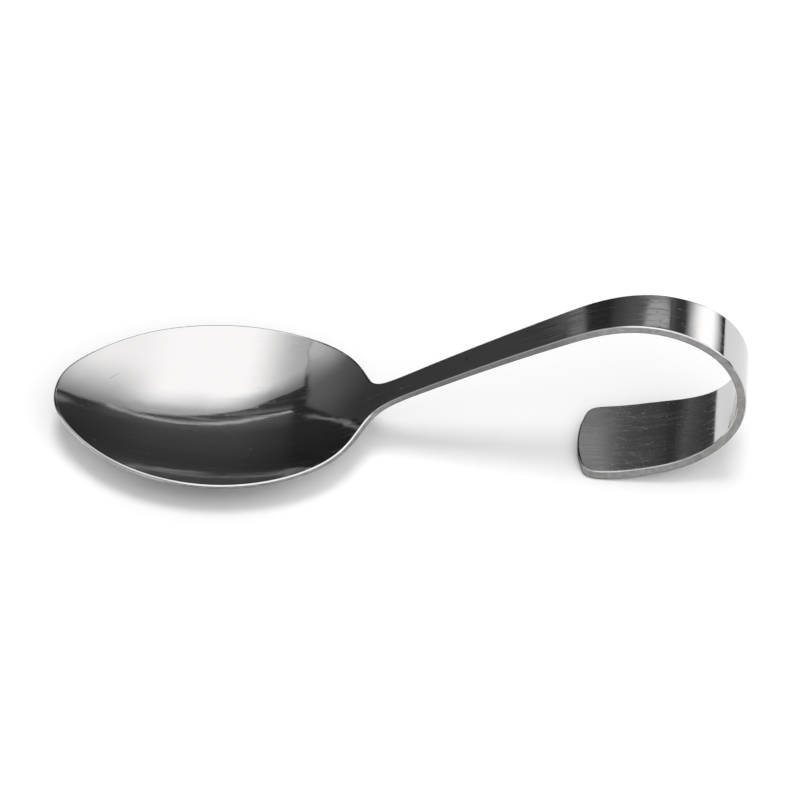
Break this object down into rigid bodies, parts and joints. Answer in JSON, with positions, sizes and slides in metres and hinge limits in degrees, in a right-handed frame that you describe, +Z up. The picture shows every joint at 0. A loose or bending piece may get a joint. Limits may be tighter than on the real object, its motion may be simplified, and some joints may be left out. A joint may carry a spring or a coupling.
{
  "type": "bent-handle caviar spoon",
  "caption": "Steel tasting spoon: a shallow egg-shaped bowl whose flat handle rises, arches over and curls back under into a wide tab that it stands on.",
  "frame": {"origin": "on the table, under the middle of the spoon's length", "axes": "+X from the bowl's tip towards the curl, +Y across the spoon, +Z up"},
  "size_m": [0.1354, 0.0448, 0.0371],
  "materials": {
    "steel": "satin brushed"
  },
  "bodies": {
    "root": {"spoon": "steel"}
  },
  "joints": []
}
